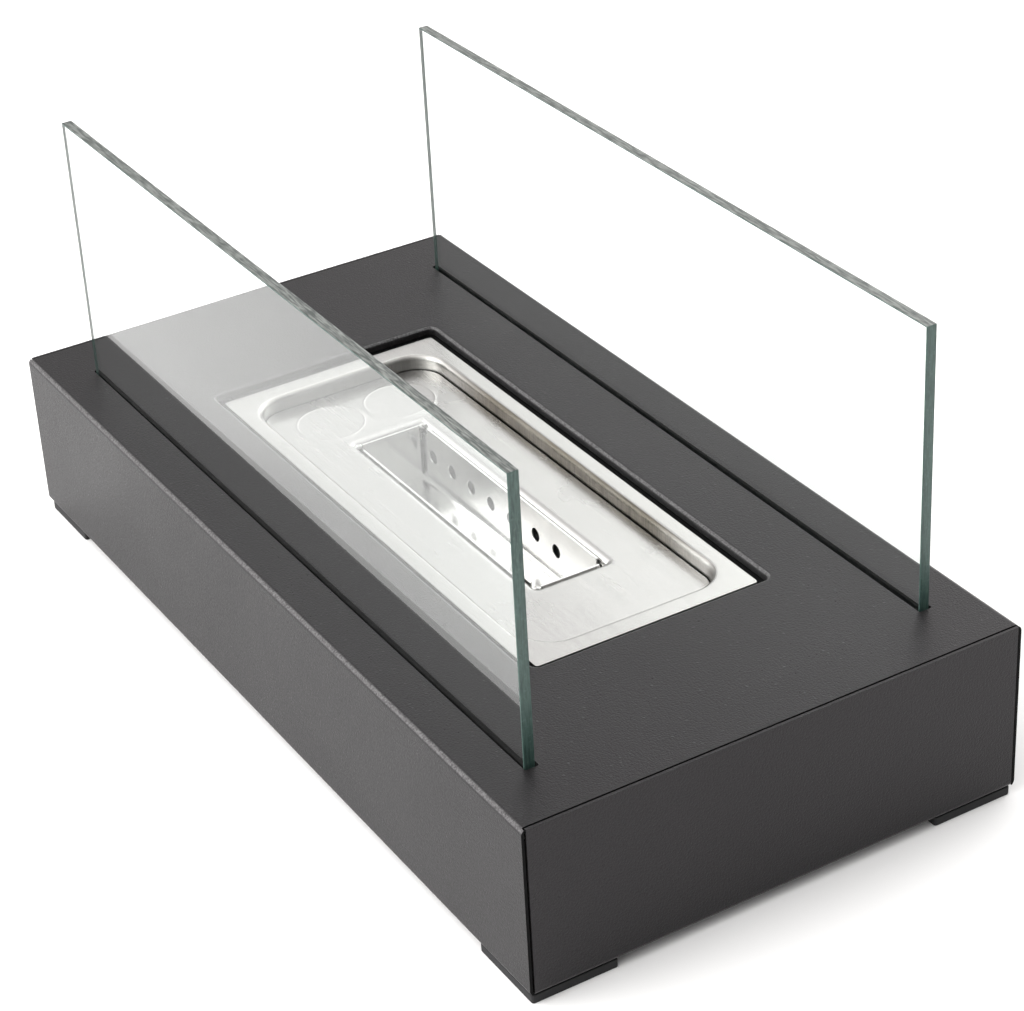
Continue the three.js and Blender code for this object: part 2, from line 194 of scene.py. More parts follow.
def makeCoatGrain(effect):
    # fine orange-peel of a sprayed or moulded surface, with a few lighter specks
    group, given, wanted = startGroup("coatGrain", effect["inputs"], ("tone", "specks", "height"))
    place = objectPlace(group)
    fineScale = calculate(group, "DIVIDE", 1.0, given["grainSize"])
    fine = placeNode(
        group, "TexNoise", {"Vector": place, "Scale": fineScale, **effect["noise"]}).outputs["Fac"]
    cellScale = calculate(group, "DIVIDE", 1.0, given["speckSize"])
    cells = placeNode(group, "TexVoronoi", {"Vector": place, "Scale": cellScale})
    dot = remap(group, cells.outputs["Distance"], effect["speckEdge"], (1.0, 0.0))
    chosen = placeNode(group, "SeparateColor", {"Color": cells.outputs["Color"]}).outputs["Red"]
    specks = multiply(group, dot, remap(group, chosen, effect["speckChoice"]))
    feed(group, wanted, {
        "tone": scaleAdd(group, calculate(group, "SUBTRACT", fine, 0.5), given["contrast"], 1.0),
        "specks": specks,
        "height": scaleAdd(group, specks, effect["speckHeight"], fine),
    })
    return group


def makeBrushMarks(effect):
    # brushing that runs along X on level faces and up and down on walls
    group, given, wanted = startGroup("brushMarks", effect["inputs"], ("streak", "broad"))
    level = remap(group, calculate(group, "ABSOLUTE", lookingUp(group)), effect["levelSpan"])
    across = calculate(group, "DIVIDE", 1.0, given["lineWidth"])
    along = calculate(group, "DIVIDE", 1.0, given["lineLength"])
    flatScale = placeNode(group, "CombineXYZ", {"X": along, "Y": across, "Z": across}).outputs[0]
    wallScale = placeNode(group, "CombineXYZ", {"X": across, "Y": across, "Z": along}).outputs[0]
    chosen = placeNode(
        group, "Mix", {0: level, 4: wallScale, 5: flatScale}, data_type="VECTOR").outputs[1]
    stretched = placeNode(
        group, "VectorMath", {0: objectPlace(group), 1: chosen}, operation="MULTIPLY").outputs[0]
    feed(group, wanted, {
        name: placeNode(group, "TexNoise", {"Vector": stretched, **effect[name]}).outputs["Fac"]
        for name in ("streak", "broad")
    })
    return group


def makeHandling(effect):
    # soft patches left by wiping and fingers
    group, given, wanted = startGroup("handling", effect["inputs"], ("mask",))
    scale = calculate(group, "DIVIDE", 1.0, given["patchSize"])
    patches = placeNode(
        group, "TexNoise", {"Vector": objectPlace(group), "Scale": scale, **effect["noise"]})
    mask = remap(group, patches.outputs["Fac"], effect["patchSpan"], smooth=True)
    feed(group, wanted, {"mask": mask})
    return group


coatGrain = makeCoatGrain(grainEffect)
brushMarks = makeBrushMarks(brushEffect)
handling = makeHandling(handlingEffect)


def placeGrain(tree, finish):
    return placeGroup(
        tree, coatGrain, grainSize=finish["grain"], speckSize=finish["speck"],
        contrast=finish.get("contrast", 1.0))


def placeBrushing(tree, finish):
    width, length = finish["lineWidth"], finish["lineLength"]
    return placeGroup(tree, brushMarks, lineWidth=width, lineLength=length)


def placePatches(tree, finish):
    return placeGroup(tree, handling, patchSize=finish["patch"])["mask"]


# Coatings, rubber and silicone

coatingLook = {
    "dark": 0.62,
    "light": 1.38,
    "toneSpan": (0.85, 1.15),
    # where the painted fold highlight falls, and how it follows the grain
    "foldLevel": (0.88, 0.985),
    "foldUpright": (0.3, 0.55),
    "highlightSpan": (0.82, 1.15),
    "highlightRange": (0.12, 1.0),
    "roughSwing": 0.5,
    "wipedSwing": -0.03,
    "shineColour": (1.0, 1.0, 1.0),
}


def makeCoating(name, finish):
    # sprayed or moulded non-metal: grain, specks, a slow drift of tone
    look = {**coatingLook, **finish}
    material, tree, shader = startMaterial(name)
    grain = placeGrain(tree, look)
    base = blendColours(
        tree, remap(tree, grain["tone"], look["toneSpan"]),
        tinted(look["colour"], look["dark"]), tinted(look["colour"], look["light"]))
    speckled = blendColours(
        tree, multiply(tree, grain["specks"], look["speckShare"]),
        base, tinted(look["colour"], look["speckTone"]))
    if "foldHighlightTone" in look:
        # painted highlight on the folds and the rolled lip: a lighter tone, speckled by the grain,
        # on faces between level and upright
        level = calculate(tree, "ABSOLUTE", lookingUp(tree))
        fold = multiply(
            tree, remap(tree, level, look["foldLevel"], (1.0, 0.0), smooth=True),
            remap(tree, level, look["foldUpright"], smooth=True))
        paintedFoldHighlight = multiply(tree, fold, remap(tree, grain["tone"], look["highlightSpan"], look["highlightRange"]))
        speckled = blendColours(tree, paintedFoldHighlight, speckled, tinted(look["foldHighlightTone"]))
    swing = calculate(tree, "SUBTRACT", grain["tone"], 1.0)
    rough = scaleAdd(tree, swing, look["roughSwing"], look["roughness"])
    feed(tree, shader, {
        "Base Color": speckled,
        "Roughness": scaleAdd(tree, placePatches(tree, look), look["wipedSwing"], rough),
        "Specular IOR Level": look["shine"],
        "Specular Tint": tinted(look["shineColour"]),
        "Normal": bumpFrom(tree, grain["height"], look["relief"]),
    })
    return material


powderCoat = makeCoating("powderCoat", {
    "colour": (0.0105, 0.01, 0.0105),
    "grain": 0.00062,
    "speck": 0.0021,
    "contrast": 1.0,
    "speckShare": 0.8,
    "speckTone": 2.6,
    # painted highlight: the lighter tone laid on the folds
    "foldHighlightTone": (0.115, 0.113, 0.114),
    "patch": 0.07,
    "roughness": 0.4,
    "shine": 0.255,
    "shineColour": (1.0, 0.94, 0.99),
    "relief": 0.00013,
})
# near-black cut edges of the housing sheet: painted shade for the dark gaps at the seams
paintedShadeEdge = makeCoating("paintedShadeEdge", {
    "colour": (0.0035, 0.0035, 0.0035),
    "grain": 0.0006,
    "speck": 0.002,
    "contrast": 0.4,
    "speckShare": 0.2,
    "speckTone": 1.5,
    "patch": 0.05,
    "roughness": 0.7,
    "shine": 0.08,
    "relief": 0.00004,
})
# near black: the steel's own black paint, made darker still as painted shade in the glass slots
# where the channels sit
blackSteel = makeCoating("blackSteel", {
    "colour": (0.003, 0.003, 0.0032),
    "grain": 0.0009,
    "speck": 0.003,
    "contrast": 0.35,
    "speckShare": 0.35,
    "speckTone": 2.0,
    "patch": 0.03,
    "roughness": 0.6,
    "shine": 0.1,
    "relief": 0.00004,
})
footRubber = makeCoating("footRubber", {
    "colour": (0.012, 0.012, 0.013),
    "grain": 0.0005,
    "speck": 0.0014,
    "contrast": 0.6,
    "speckShare": 0.3,
    "speckTone": 2.2,
    "patch": 0.02,
    "roughness": 0.62,
    "shine": 0.3,
    "relief": 0.00006,
})
siliconePad = makeCoating("siliconePad", {
    "colour": (0.42, 0.43, 0.43),
    "grain": 0.0008,
    "speck": 0.003,
    "contrast": 0.2,
    "speckShare": 0.15,
    "speckTone": 1.2,
    "patch": 0.015,
    "roughness": 0.55,
    "shine": 0.4,
    "relief": 0.00003,
})


# Steels

def brushTone(tree, marks, share=brushEffect["streakShare"]):
    return scaleAdd(tree, marks["streak"], share, multiply(tree, marks["broad"], 1 - share))


def brushedMetal(tree, marks, finish):
    # the metal's colour and roughness, both drifting with its brushing
    tone = brushTone(tree, marks)
    colour, streaks = finish["colour"], finish["streaks"]
    metal = blendColours(
        tree, remap(tree, tone, brushEffect["toneSpan"]),
        tinted(colour, 1 - streaks), tinted(colour, 1 + streaks))
    return metal, scaleAdd(tree, tone, finish["roughSpread"], finish["roughness"])


smudgeLook = {
    "tone": 0.8,
    "roughness": 0.05,
}


def makeSteel(name, finish):
    # bare metal: brushing, smudges, and waves where the sheet was drawn
    material, tree, shader = startMaterial(name)
    marks, smudge = placeBrushing(tree, finish), placePatches(tree, finish)
    metal, rough = brushedMetal(tree, marks, finish)
    waves = placeNode(tree, "TexNoise", {
        "Vector": objectPlace(tree), "Scale": 1 / finish["waveSize"], "Detail": 1.0}).outputs["Fac"]
    lines = bumpFrom(tree, marks["streak"], finish["lineDepth"])
    feed(tree, shader, {
        "Base Color": blendColours(
            tree, multiply(tree, smudge, finish["smudges"]),
            metal, tinted(finish["colour"], smudgeLook["tone"])),
        "Metallic": 1.0,
        "Roughness": scaleAdd(tree, smudge, smudgeLook["roughness"], rough),
        "Normal": bumpFrom(tree, waves, finish["waveDepth"], lines),
    })
    return material


def makeDrawnSteel(name, finish):
    # the tank's steel: duller and dark straw-brown on the recess wall, strongest in the middle,
    # with painted shade in the seam under the plate
    material, tree, shader = startMaterial(name)
    marks, grain = placeBrushing(tree, finish), placeGrain(tree, finish)
    metal, rough = brushedMetal(tree, marks, finish)
    spot = placeNode(tree, "SeparateXYZ", {"Vector": objectPlace(tree)}).outputs
    rising = [level * mm for level in finish["seamRise"]]
    falling = [level * mm for level in finish["seamFall"]]

    level = calculate(tree, "ABSOLUTE", lookingUp(tree))
    upright = remap(tree, level, finish["uprightSpan"], (1.0, 0.0), smooth=True)
    wall = multiply(tree, upright, remap(tree, spot["Z"], rising))
    drawn = blendColours(
        tree, remap(tree, marks["streak"], finish["wallSpan"]),
        tinted(finish["wallColour"], finish["wallDark"]),
        tinted(finish["wallColour"], finish["wallLight"]))
    # the brown tint is strongest in the middle of the wall and fades towards its ends
    wander = scaleAdd(tree, grain["tone"], finish["wander"], calculate(tree, "ABSOLUTE", spot["X"]))
    wallTintSpan = [place * mm for place in finish["wallTintSpan"]]
    wallTintByPlace = remap(tree, wander, wallTintSpan, finish["wallTintShares"], smooth=True)
    share = scaleAdd(tree, placePatches(tree, finish), finish["tintShare"], wallTintByPlace)
    walled = blendColours(tree, multiply(tree, wall, share), metal, drawn)

    # painted shade: the steel turns near black round the ledge crease under the plate
    seam = multiply(
        tree, remap(tree, spot["Z"], rising, (0.0, finish["seamShare"])),
        remap(tree, spot["Z"], falling, (1.0, 0.0), smooth=True))
    lines = bumpFrom(tree, marks["streak"], finish["lineDepth"])
    feed(tree, shader, {
        "Base Color": blendColours(tree, seam, walled, tinted(finish["seamShadeColour"])),
        "Metallic": 1.0,
        "Roughness": scaleAdd(tree, wall, finish["wallRoughness"], rough),
        "Normal": bumpFrom(tree, multiply(tree, grain["height"], wall), finish["pebble"], lines),
    })
    return material


satinSteel = makeSteel("satinSteel", {
    "colour": (0.545, 0.538, 0.53),
    "lineWidth": 0.00045,
    "lineLength": 0.03,
    "lineDepth": 0.000004,
    "streaks": 0.05,
    "smudges": 0.25,
    "patch": 0.035,
    "roughness": 0.2,
    "roughSpread": 0.1,
    "waveSize": 0.06,
    "waveDepth": 0.0002,
})
polishedSteel = makeSteel("polishedSteel", {
    "colour": (0.86, 0.855, 0.845),
    "lineWidth": 0.0006,
    "lineLength": 0.02,
    "lineDepth": 0.000002,
    "streaks": 0.03,
    "smudges": 0.15,
    "patch": 0.012,
    "roughness": 0.16,
    "roughSpread": 0.06,
    "waveSize": 0.022,
    "waveDepth": 0.0004,
})
drawnSteel = makeDrawnSteel("drawnSteel", {
    "colour": (0.54, 0.534, 0.523),
    "lineWidth": 0.00045,
    "lineLength": 0.03,
    "lineDepth": 0.000004,
    "streaks": 0.05,
    "grain": 0.0005,
    "speck": 0.0016,
    "patch": 0.03,
    "uprightSpan": (0.88, 0.994),
    "wallColour": (0.08, 0.071, 0.058),
    "wallSpan": (0.32, 0.66),
    "wallDark": 0.5,
    "wallLight": 1.9,
    "wander": 0.012,
    "wallTintSpan": (62, 100),
    "wallTintShares": (0.98, 0.45),
    "tintShare": -0.12,
    "wallRoughness": 0.08,
    "pebble": 0.00003,
    # painted shade in the seam under the plate
    "seamShadeColour": (0.02, 0.018, 0.016),
    "seamRise": (53.4, 54.4),
    "seamFall": (55.3, 56.3),
    "seamShare": 0.95,
    "roughness": 0.2,
    "roughSpread": 0.1,
})
zincSteel = makeSteel("zincSteel", {
    "colour": (0.55, 0.56, 0.58),
    "lineWidth": 0.0008,
    "lineLength": 0.003,
    "lineDepth": 0.00001,
    "streaks": 0.15,
    "smudges": 0.5,
    "patch": 0.006,
    "roughness": 0.3,
    "roughSpread": 0.15,
    "waveSize": 0.008,
    "waveDepth": 0.0001,
})


# Glass and wool

glassFinish = {
    "colour": (0.965, 0.992, 0.982),
    "refraction": 1.52,
    "shadowColour": (0.9, 0.93, 0.92),
}
groundFinish = {
    "lineWidth": 0.0006,
    "lineLength": 0.006,
    "streakShare": 0.7,
    "grain": 0.0011,
    "speck": 0.004,
    "green": ((0.018, 0.042, 0.037), (0.068, 0.12, 0.104)),
    "greenSpan": (0.36, 0.66),
    "chip": (0.11, 0.17, 0.153),
    "chipSpan": (1.05, 1.3),
    "chipShare": 0.5,
    # painted light on the upper edge
    "topLightGrey": ((0.035, 0.039, 0.037), (0.235, 0.24, 0.23)),
    "topLightGreySpan": (0.42, 0.62),
    "topLightSpan": (0.6, 0.9),
    "topLightShare": 0.85,
    "roughSpan": (0.3, 0.7),
    "roughRange": (0.28, 0.5),
    "shine": 0.5,
    "relief": 0.00005,
}
woolFinish = {
    "fibres": {"Scale": 900.0, "Detail": 4.0, "Distortion": 2.5},
    "fibreShare": 0.6,
    "layers": (90.0, 90.0, 600.0),
    "layerDetail": 3.0,
    "colours": ((0.62, 0.6, 0.55), (0.88, 0.87, 0.83)),
    "colourSpan": (0.35, 0.65),
    "darkTowardsTrough": (0.018, 0.017, 0.016),
    "darkSpan": (0.0165, 0.0205),
    "darkWander": 0.004,
    "roughness": 0.95,
    "shine": 0.15,
    "sheen": 0.3,
    "relief": 0.0006,
}


def makeClearGlass(finish):
    material, tree, shader = startMaterial("clearGlass")
    feed(tree, shader, {
        "Base Color": tinted(finish["colour"]),
        "Roughness": 0.0,
        "IOR": finish["refraction"],
        "Transmission Weight": 1.0,
    })
    # light passes straight through, so the panes cast only a faint shadow
    lamp = placeNode(tree, "BsdfTransparent", {"Color": tinted(finish["shadowColour"])})
    glass = tree.nodes["Principled BSDF"].outputs["BSDF"]
    lampRay = placeNode(tree, "LightPath", {}).outputs["Is Shadow Ray"]
    chosen = placeNode(tree, "MixShader", {0: lampRay, 1: glass, 2: lamp.outputs["BSDF"]})
    feed(tree, tree.nodes["Material Output"].inputs, {"Surface": chosen.outputs["Shader"]})
    return material


def makeGroundEdge(finish):
    # green at the ends of the pane, and grey along its upper edge as painted light by which way the
    # face looks, with the streaks the wheel leaves
    material, tree, shader = startMaterial("groundEdge")
    marks, grain = placeBrushing(tree, finish), placeGrain(tree, finish)
    tone = brushTone(tree, marks, finish["streakShare"])
    base = blendColours(
        tree, remap(tree, tone, finish["greenSpan"]),
        *[tinted(colour) for colour in finish["green"]])
    chips = remap(tree, grain["tone"], finish["chipSpan"], (0.0, finish["chipShare"]))
    green = blendColours(tree, chips, base, tinted(finish["chip"]))
    topLightGrey = blendColours(
        tree, remap(tree, marks["streak"], finish["topLightGreySpan"]),
        *[tinted(colour) for colour in finish["topLightGrey"]])
    # painted light: the upward-looking ground edge is turned grey
    topLightMask = remap(tree, lookingUp(tree), finish["topLightSpan"], (0.0, finish["topLightShare"]))
    feed(tree, shader, {
        "Base Color": blendColours(tree, topLightMask, green, topLightGrey),
        "Roughness": remap(tree, tone, finish["roughSpan"], finish["roughRange"]),
        "Specular IOR Level": finish["shine"],
        "Normal": bumpFrom(tree, marks["streak"], finish["relief"]),
    })
    return material


def makeWool(finish):
    # white felted layers, darker on the face towards the trough
    material, tree, shader = startMaterial("ceramicWool")
    place = objectPlace(tree)
    fibres = placeNode(tree, "TexNoise", {"Vector": place, **finish["fibres"]}).outputs["Fac"]
    layers = placeNode(
        tree, "Mapping", {"Vector": place, "Scale": finish["layers"]}).outputs["Vector"]
    felted = placeNode(tree, "TexNoise", {
        "Vector": layers, "Scale": 1.0, "Detail": finish["layerDetail"]}).outputs["Fac"]
    share = finish["fibreShare"]
    mixed = scaleAdd(tree, fibres, share, multiply(tree, felted, 1 - share))
    clean = blendColours(
        tree, remap(tree, mixed, finish["colourSpan"]),
        *[tinted(colour) for colour in finish["colours"]])
    across = placeNode(tree, "SeparateXYZ", {"Vector": place}).outputs["Y"]
    wander = scaleAdd(tree, mixed, finish["darkWander"], calculate(tree, "ABSOLUTE", across))
    darkTowardsTrough = remap(tree, wander, finish["darkSpan"], (1.0, 0.0), smooth=True)
    feed(tree, shader, {
        "Base Color": blendColours(tree, darkTowardsTrough, clean, tinted(finish["darkTowardsTrough"])),
        "Roughness": finish["roughness"],
        "Specular IOR Level": finish["shine"],
        "Sheen Weight": finish["sheen"],
        "Normal": bumpFrom(tree, mixed, finish["relief"]),
    })
    return material


clearGlass = makeClearGlass(glassFinish)
groundEdge = makeGroundEdge(groundFinish)
ceramicWool = makeWool(woolFinish)
print("finishes ready")


# Mesh helpers

closeness = {
    "level": 0.01,
    "cut": 0.0001,
    "merge": 0.002,
    "flat": 0.999,
    "facing": 0.99,
    "foldAngle": math.radians(50),
}


def same(first, second):
    return abs(first - second) < closeness["level"]


def shift(bm, verts, by):
    bmesh.ops.translate(bm, vec=by, verts=verts)


def pull(bm, made, by):
    # shifts the corners among the things that an extrusion has made
    shift(bm, [item for item in made if isinstance(item, bmesh.types.BMVert)], by)


def placeSheet(bm, halfX, halfY):
    made = bmesh.ops.create_grid(bm, x_segments=1, y_segments=1, size=1.0)["verts"]
    bmesh.ops.scale(bm, vec=(halfX, halfY, 1), verts=made)
    return made


def placeBlock(bm, middle, extent):
    made = bmesh.ops.create_cube(bm, size=1.0)["verts"]
    bmesh.ops.scale(bm, vec=extent, verts=made)
    shift(bm, made, middle)


def roundedFace(bm, halfX, halfY, corner, steps, level):
    # a level face with rounded corners
    made = placeSheet(bm, halfX, halfY)
    shift(bm, made, (0, 0, level))
    others = set(bm.faces) - {made[0].link_faces[0]}
    bmesh.ops.bevel(
        bm, geom=made, affect="VERTICES", offset=corner, offset_type="OFFSET",
        segments=steps, profile=0.5, material=-1)
    return next(face for face in bm.faces if face not in others)


def insetBy(bm, face, width):
    bmesh.ops.inset_region(
        bm, faces=[face], thickness=width, use_even_offset=True, use_boundary=True)


def dropFaces(bm, faces, keepOutline=False):
    context = "FACES_KEEP_BOUNDARY" if keepOutline else "FACES"
    bmesh.ops.delete(bm, geom=faces, context=context)


def cutAway(bm, test):
    # drops the faces whose middles pass the test
    dropFaces(bm, [face for face in bm.faces if test(face.calc_center_median())])


def openLevel(bm, level):
    # drops the flat faces at one level and keeps their outlines
    dropFaces(bm, [
        face for face in bm.faces
        if abs(face.normal.z) > closeness["flat"] and same(face.calc_center_median().z, level)
    ], keepOutline=True)


def fillLoops(bm, loops, normal):
    bmesh.ops.triangle_fill(bm, use_beauty=True, use_dissolve=False, edges=loops, normal=normal)


def fillLevel(bm, level):
    # a flat sheet between all the open loops that lie at one level
    loops = [
        edge for edge in bm.edges
        if len(edge.link_faces) < 2 and all(same(vert.co.z, level) for vert in edge.verts)
    ]
    fillLoops(bm, loops, (0, 0, 1))


def sinkBy(bm, face, depth, keepFirst=False):
    # a negative depth lifts the face
    made = bmesh.ops.extrude_face_region(bm, geom=[face])["geom"]
    pull(bm, made, (0, 0, -depth))
    if not keepFirst:
        bmesh.ops.delete(bm, geom=[face], context="FACES_ONLY")
    return next(item for item in made if isinstance(item, bmesh.types.BMFace))


def foldEdges(bm, test=None):
    return [
        edge for edge in bm.edges
        if len(edge.link_faces) == 2
        and edge.calc_face_angle() > closeness["foldAngle"]
        and (not test or test((edge.verts[0].co + edge.verts[1].co) / 2))
    ]


def foldsAt(bm, level):
    return foldEdges(bm, lambda spot: same(spot.z, level))


def roundOff(bm, edges, radius, steps):
    bmesh.ops.bevel(
        bm, geom=edges, affect="EDGES", offset=radius, offset_type="OFFSET",
        segments=steps, profile=0.5, material=-1)


def foldedSheet(points, direction, bend):
    # a chain of straight lines swept both ways along a direction, with rounded folds
    bm = bmesh.new()
    reach = Vector(direction)
    verts = [bm.verts.new(Vector(point) - reach) for point in points]
    edges = [bm.edges.new(pair) for pair in zip(verts, verts[1:])]
    pull(bm, bmesh.ops.extrude_edge_only(bm, edges=edges)["geom"], 2 * reach)
    roundOff(bm, foldEdges(bm), *bend)
    return bm


def sliceAt(bm, place, normal):
    bmesh.ops.bisect_plane(
        bm, geom=bm.verts[:] + bm.edges[:] + bm.faces[:], dist=closeness["cut"],
        plane_co=place, plane_no=normal)


def alignFaces(bm):
    bmesh.ops.recalc_face_normals(bm, faces=bm.faces[:])


def mergeAndAlign(bm):
    bmesh.ops.remove_doubles(bm, verts=bm.verts[:], dist=closeness["merge"])
    alignFaces(bm)


def faceOutwards(bm, test, wanted):
    # all faces agree, and the faces that pass the test point the wanted way
    mergeAndAlign(bm)
    probe = max((face for face in bm.faces if test(face)), key=lambda face: face.calc_area())
    if probe.normal.dot(Vector(wanted)) < 0:
        bmesh.ops.reverse_faces(bm, faces=bm.faces[:])


def faceUp(bm, level):
    faceOutwards(bm, lambda face: same(face.calc_center_median().z, level), (0, 0, 1))


def flatUp(bm):
    # the largest level face looks up
    faceOutwards(bm, lambda face: abs(face.normal.z) > closeness["facing"], (0, 0, 1))


def placeObject(name, bm, materials):
    mesh = bpy.data.meshes.new(name)
    bm.to_mesh(mesh)
    bm.free()
    for material in materials:
        mesh.materials.append(material)
    item = bpy.data.objects.new(name, mesh)
    scene.collection.objects.link(item)
    return item


def settle(piece):
    graph = bpy.context.evaluated_depsgraph_get()
    mesh = bpy.data.meshes.new_from_object(piece.evaluated_get(graph))
    mesh.name = piece.name
    piece.modifiers.clear()
    piece.data = mesh


arrisShape = {
    "steps": 2,
    "angle": math.radians(40),
    "sharp": 35,
}


def finishPiece(name, bm, size, materials, body, nodes):
    # thickens, breaks the edges, shades and hands over one piece
    bmesh.ops.scale(bm, vec=(mm, mm, mm), verts=bm.verts[:])
    piece = placeObject(name, bm, materials)
    if "sheet" in size:
        wall = piece.modifiers.new("sheet", "SOLIDIFY")
        wall.thickness = size["sheet"] * mm
        wall.offset = size.get("side", -1)
        wall.use_even_offset = True
        wall.material_offset_rim = len(materials) - 1
    if "arris" in size:
        edge = piece.modifiers.new("arris", "BEVEL")
        edge.width = size["arris"] * mm
        edge.segments = arrisShape["steps"]
        edge.limit_method = "ANGLE"
        edge.angle_limit = arrisShape["angle"]
    settle(piece)
    piece.data.shade_smooth()
    piece.data.set_sharp_from_angle(angle=math.radians(size.get("sharp", arrisShape["sharp"])))
    shading = piece.modifiers.new("shading", "WEIGHTED_NORMAL")
    shading.keep_sharp = True
    settle(piece)
    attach(piece, body)
    if nodes:
        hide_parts(*nodes)
    return piece


# Housing: deck and long skirts from one sheet

housing = {
    "halfRun": 174.7,
    "halfWidth": 90,
    "bottom": 3.5,
    "top": 64,
    "returnEdge": 74,
    "bend": (2.0, 7),
    "deckEnd": 173.5,
    "notchSide": 89,
    "slotEnd": 151,
    "slotSides": (69.2, 74.0),
    "slotCorner": (0.5, 3),
    "cutout": (107.5, 44),
    "cutoutCorner": (2.5, 8),
    "lipRoll": (1.5, 6),
    "lipDepth": 3.1,
    "lipMargin": 6,
    "sheet": 1.0,
    "arris": 0.15,
}


def makeHousingShell(size):
    side, low, top = size["halfWidth"], size["bottom"], size["top"]
    section = [
        (0, -size["returnEdge"], low), (0, -side, low), (0, -side, top),
        (0, side, top), (0, side, low), (0, size["returnEdge"], low),
    ]
    bm = foldedSheet(section, (size["halfRun"], 0, 0), size["bend"])
    end, notch = size["deckEnd"], size["notchSide"]
    for sign in (-1, 1):
        sliceAt(bm, (sign * end, 0, 0), (1, 0, 0))
        sliceAt(bm, (0, sign * notch, 0), (0, 1, 0))
    cutAway(bm, lambda spot: abs(spot.x) > end and abs(spot.y) < notch)
    openLevel(bm, top)

    # rolled lip round the burner opening
    (length, width), (corner, steps) = size["cutout"], size["cutoutCorner"]
    margin = size["lipMargin"]
    lip = roundedFace(bm, length + margin, width + margin, corner + margin, steps, top)
    insetBy(bm, lip, margin)
    dropFaces(bm, [sinkBy(bm, lip, size["lipDepth"])])
    roundOff(bm, foldEdges(bm, lambda spot: (
        same(spot.z, top) and abs(spot.x) < length + margin / 2 and abs(spot.y) < width + margin / 2
    )), *size["lipRoll"])

    # slots for the glass
    near, far = size["slotSides"]
    for sign in (-1, 1):
        slot = roundedFace(bm, size["slotEnd"], (far - near) / 2, *size["slotCorner"], top)
        shift(bm, slot.verts[:], (0, sign * (near + far) / 2, 0))
        dropFaces(bm, [slot], keepOutline=True)
    fillLevel(bm, top)
    faceUp(bm, top)
    return bm


# the sheet's cut edges take the near-black edge material, painted shade for the seams
finishPiece(
    "housingShell", makeHousingShell(housing), housing, [powderCoat, paintedShadeEdge],
    "housing", ["housing_shell"])
print("housing shell folded")


# End caps with their turned-in lower edges

endCap = {
    "face": 175,
    "halfWidth": 88.5,
    "bottom": 3.5,
    "top": 63.85,
    "returnEdge": 159,
    "returnSide": 73.5,
    "returnStart": 173.5,
    "bend": (2.0, 7),
    "sheet": 1.0,
    "arris": 0.45,
}


def makeEndCap(size, sign):
    face, low = size["face"], size["bottom"]
    section = [
        (sign * size["returnEdge"], 0, low), (sign * face, 0, low), (sign * face, 0, size["top"]),
    ]
    bm = foldedSheet(section, (0, size["halfWidth"], 0), size["bend"])
    start, side = size["returnStart"], size["returnSide"]
    sliceAt(bm, (sign * start, 0, 0), (1, 0, 0))
    for hand in (-1, 1):
        sliceAt(bm, (0, hand * side, 0), (0, 1, 0))
    cutAway(bm, lambda spot: abs(spot.x) < start and abs(spot.y) > side)
    faceOutwards(bm, lambda item: abs(item.normal.x) > closeness["facing"], (sign, 0, 0))
    return bm


for end, sign in ends:
    finishPiece(
        "endCap_" + end, makeEndCap(endCap, sign), endCap, [powderCoat],
        "housing", ["end_cap_" + end])
print("end caps folded")


# Rubber feet on their adhesive pads

foot = {
    "size": 30,
    "height": 3.5,
    "centre": (159, 74),
    "adhesive": 0.5,
    "adhesiveInset": 0.6,
    "corner": (1.0, 5),
    "arris": 0.35,
}


def makeFoot(size, signX, signY):
    bm = bmesh.new()
    half = size["size"] / 2
    body = roundedFace(bm, half, half, *size["corner"], 0)
    under = sinkBy(bm, body, size["adhesive"] - size["height"], keepFirst=True)
    insetBy(bm, under, size["adhesiveInset"])
    sinkBy(bm, under, -size["adhesive"])
    x, y = size["centre"]
    shift(bm, bm.verts[:], (signX * x, signY * y, 0))
    faceOutwards(bm, lambda face: same(face.calc_center_median().z, 0), (0, 0, -1))
    return bm


for corner, signX, signY in corners:
    finishPiece(
        f"foot_{corner}_pad", makeFoot(foot, signX, signY), foot, [footRubber],
        "housing", ["foot_" + corner])
print("feet moulded")


# Glass panels with ground edges

panel = {
    "length": 300,
    "thickness": 3.8,
    "levels": (42.5, 162.5),
    "middle": 71.8,
    "grind": (0.4, 2),
    "sharp": 30,
}


def makePanel(size, sign):
    bm = bmesh.new()
    low, high = size["levels"]
    placeBlock(
        bm, (0, sign * size["middle"], (low + high) / 2),
        (size["length"], size["thickness"], high - low))
    roundOff(bm, bm.edges[:], *size["grind"])
    for face in bm.faces:
        face.material_index = 0 if abs(face.normal.y) > closeness["facing"] else 1
    return bm


for row, sign in rows:
    finishPiece(
        "glassPanel_" + row, makePanel(panel, sign), panel, [clearGlass, groundEdge],
        row + "_glass", ["glass_panel_" + row])
print("glass cut and ground")


# Fuel tank, drawn from one sheet

tank = {
    "rim": (104.4, 41.5),
    "rimCorner": (1.2, 4),
    "top": 61.5,
    "recess": (96.2, 34.8),
    "recessCorner": (11.5, 12),
    "margin": 4,
    "ledgeLevel": 55,
    "ledge": 3,
    "floor": 26,
    "rimRoll": (2.0, 6),
    "crease": (0.4, 3),
    "ledgeRoll": (1.4, 4),
    "floorRoll": (4.5, 6),
    "sheet": 1.0,
    "arris": 0.25,
}


